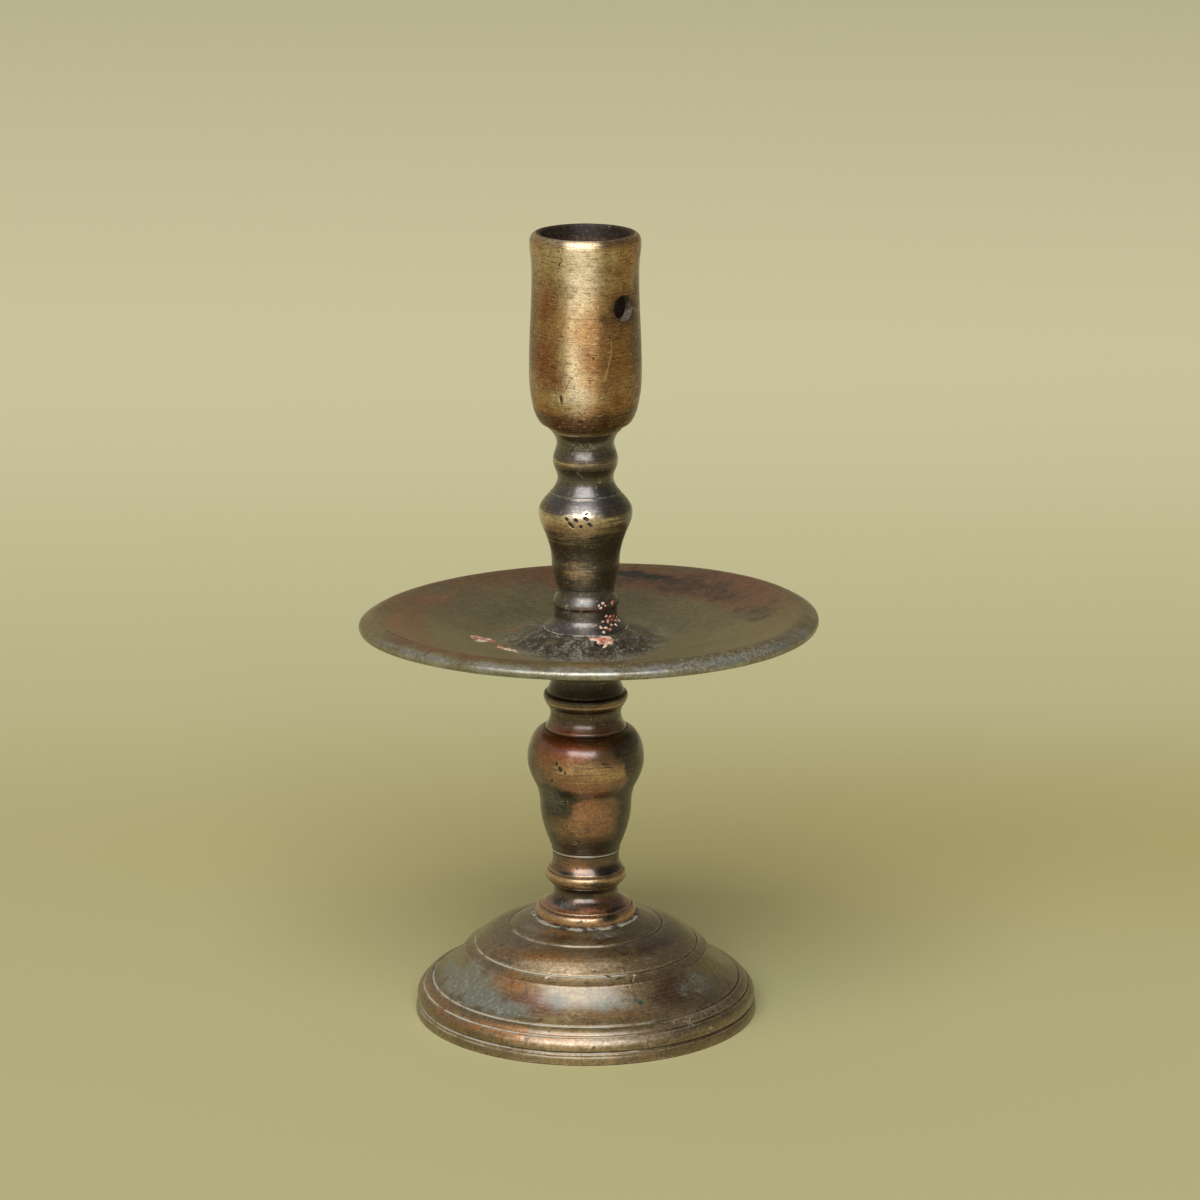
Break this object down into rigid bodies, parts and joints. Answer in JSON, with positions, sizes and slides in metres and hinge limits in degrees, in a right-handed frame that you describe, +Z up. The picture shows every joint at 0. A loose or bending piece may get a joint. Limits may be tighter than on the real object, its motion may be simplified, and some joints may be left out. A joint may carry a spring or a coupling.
{
  "type": "candle holder",
  "caption": "Turned brass candlestick on a round stepped foot, with a baluster stem, a wide shallow drip pan and a tall socket bored for a dinner candle.",
  "frame": {"origin": "on the table, under the middle of the foot", "axes": "+Z up along the axis of the stem; the push-out hole in the socket opens half-way between +X and -Y, and -Y faces the viewer of the picture"},
  "size_m": [0.1166, 0.1166, 0.2032],
  "materials": {
    "olive_brass": "aged olive-brown patina with rubbed highlights",
    "dull_steel": "dull, slightly stained",
    "red_bronze": "red-brown to black patina, gold where it is rubbed",
    "pan_bronze": "green-brown patina with fine scratches",
    "dark_bronze": "nearly black patina, glossy",
    "bright_brass": "worn bright with brown mottling"
  },
  "bodies": {
    "root": {"foot": "olive_brass", "foot_washer": "dull_steel", "foot_nut": "dull_steel", "lower_stem": "red_bronze", "drip_pan": "pan_bronze", "upper_stem": "dark_bronze", "candle_socket": "bright_brass"}
  },
  "joints": []
}
